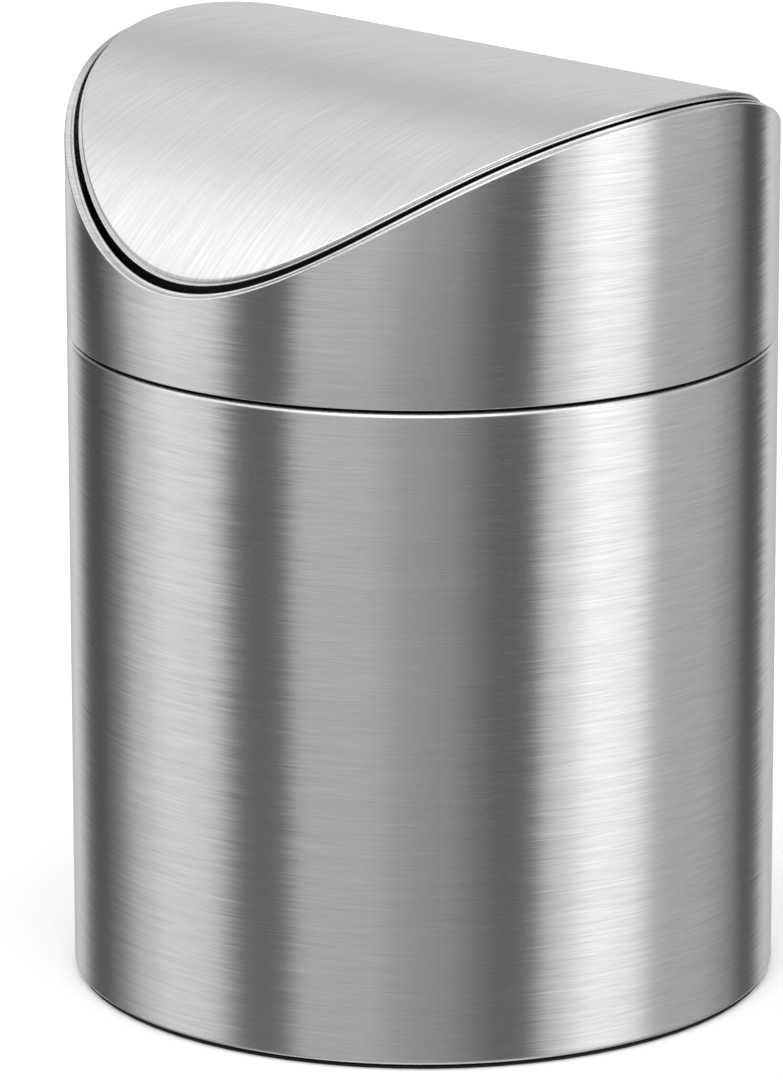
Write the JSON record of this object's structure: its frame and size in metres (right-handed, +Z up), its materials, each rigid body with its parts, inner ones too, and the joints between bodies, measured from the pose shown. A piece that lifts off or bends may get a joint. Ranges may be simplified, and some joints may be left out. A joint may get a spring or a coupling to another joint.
{
  "type": "countertop swing-top wastebasket",
  "caption": "Small round brushed-steel wastebasket with a lift-off lid ring whose saddle-shaped rim holds a curved, self-closing swing flap.",
  "frame": {"origin": "centre of the footprint, at the bottom of the foot pads", "axes": "+Z up along the bin's axis, X along the flap's hinge line, -Y towards the front low point of the rim"},
  "size_m": [0.12, 0.12, 0.1591],
  "materials": {
    "brushed_steel": "brushed, streaks round the body and lid, and across the flap's hinge line",
    "plain_steel": "mill-finished sheet and bar",
    "bright_steel": "bright zinc plated",
    "black_plastic": "fine moulded grain, satin black",
    "nylon": "natural nylon, smooth",
    "rubber": "matt black"
  },
  "bodies": {
    "bin_body": {"body_shell": "brushed_steel", "base_plate": "black_plastic", "floor_pan": "plain_steel", "foot_pad_1": "rubber", "foot_pad_2": "rubber", "foot_pad_3": "rubber", "foot_pad_4": "rubber"},
    "lid": {"lid_skirt": "brushed_steel", "lid_collar": "black_plastic", "pivot_bracket_left": "black_plastic", "pivot_bracket_right": "black_plastic", "pivot_bush_left": "nylon", "pivot_bush_right": "nylon", "bracket_screw_left_front": "bright_steel", "bracket_screw_left_back": "bright_steel", "bracket_screw_right_front": "bright_steel", "bracket_screw_right_back": "bright_steel"},
    "flap": {"flap_skin": "brushed_steel", "flap_liner": "black_plastic", "pivot_pin_left": "bright_steel", "pivot_pin_right": "bright_steel", "pin_clip_left": "bright_steel", "pin_clip_right": "bright_steel", "counterweight_front": "plain_steel", "counterweight_back": "plain_steel", "weight_screw_front_left": "bright_steel", "weight_screw_front_right": "bright_steel", "weight_screw_back_left": "bright_steel", "weight_screw_back_right": "bright_steel"}
  },
  "joints": [
    {"name": "lid_lift", "type": "slide", "parent": "bin_body", "child": "lid", "axis": [0, 0, 1], "range_m": [0, 0.06]},
    {"name": "flap_swing", "type": "hinge", "parent": "lid", "child": "flap", "pos_m": [0, 0, 0.1535], "axis": [1, 0, 0], "range_deg": [-75, 75]}
  ]
}
